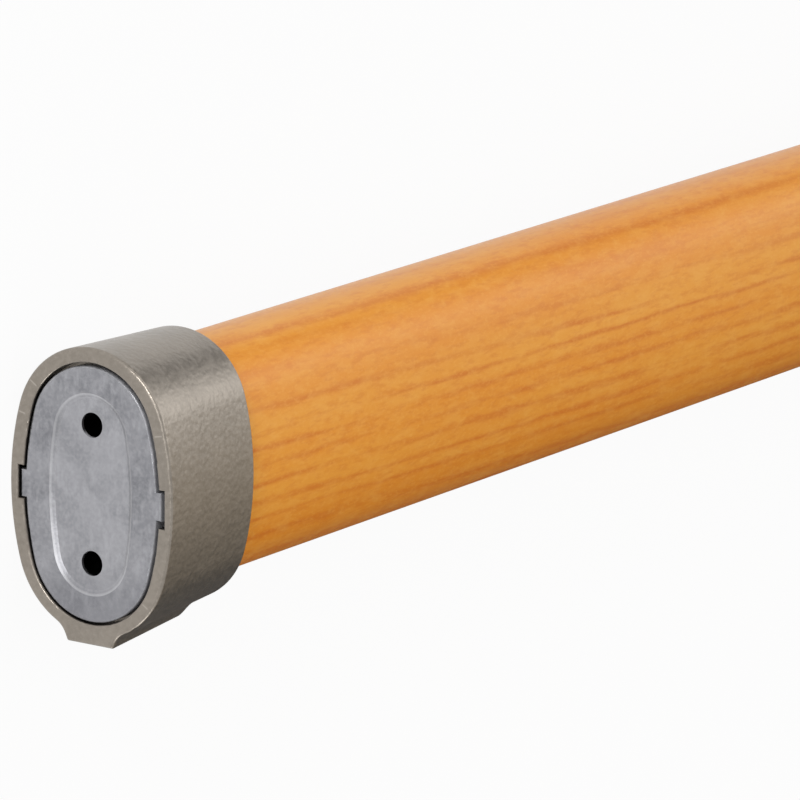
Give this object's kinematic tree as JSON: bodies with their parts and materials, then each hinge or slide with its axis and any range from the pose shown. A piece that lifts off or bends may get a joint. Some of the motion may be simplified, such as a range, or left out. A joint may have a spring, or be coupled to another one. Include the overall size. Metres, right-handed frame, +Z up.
{
  "type": "wall-ended oval handrail",
  "caption": "Hollow oval aluminium handrail with a wood-grain finish, a tapered cast end collar with a foot, and a screw-on wall plate in the collar's mouth.",
  "frame": {"origin": "middle of the collar's end face, on the wall plane", "axes": "+X along the rail away from the wall, +Y the way that is up in use, +Z up as it lies on its flat side"},
  "size_m": [1.0034, 0.0545, 0.036],
  "materials": {
    "wood_grain_film": "extruded aluminium under a satin printed wood-grain film",
    "grey_paint": "die casting in warm grey metallic paint with a fine pebbled texture",
    "cast_metal": "bare die casting, matt and slightly mottled"
  },
  "bodies": {
    "root": {"rail": "wood_grain_film", "collar": "grey_paint", "wall_plate": "cast_metal"}
  },
  "joints": []
}
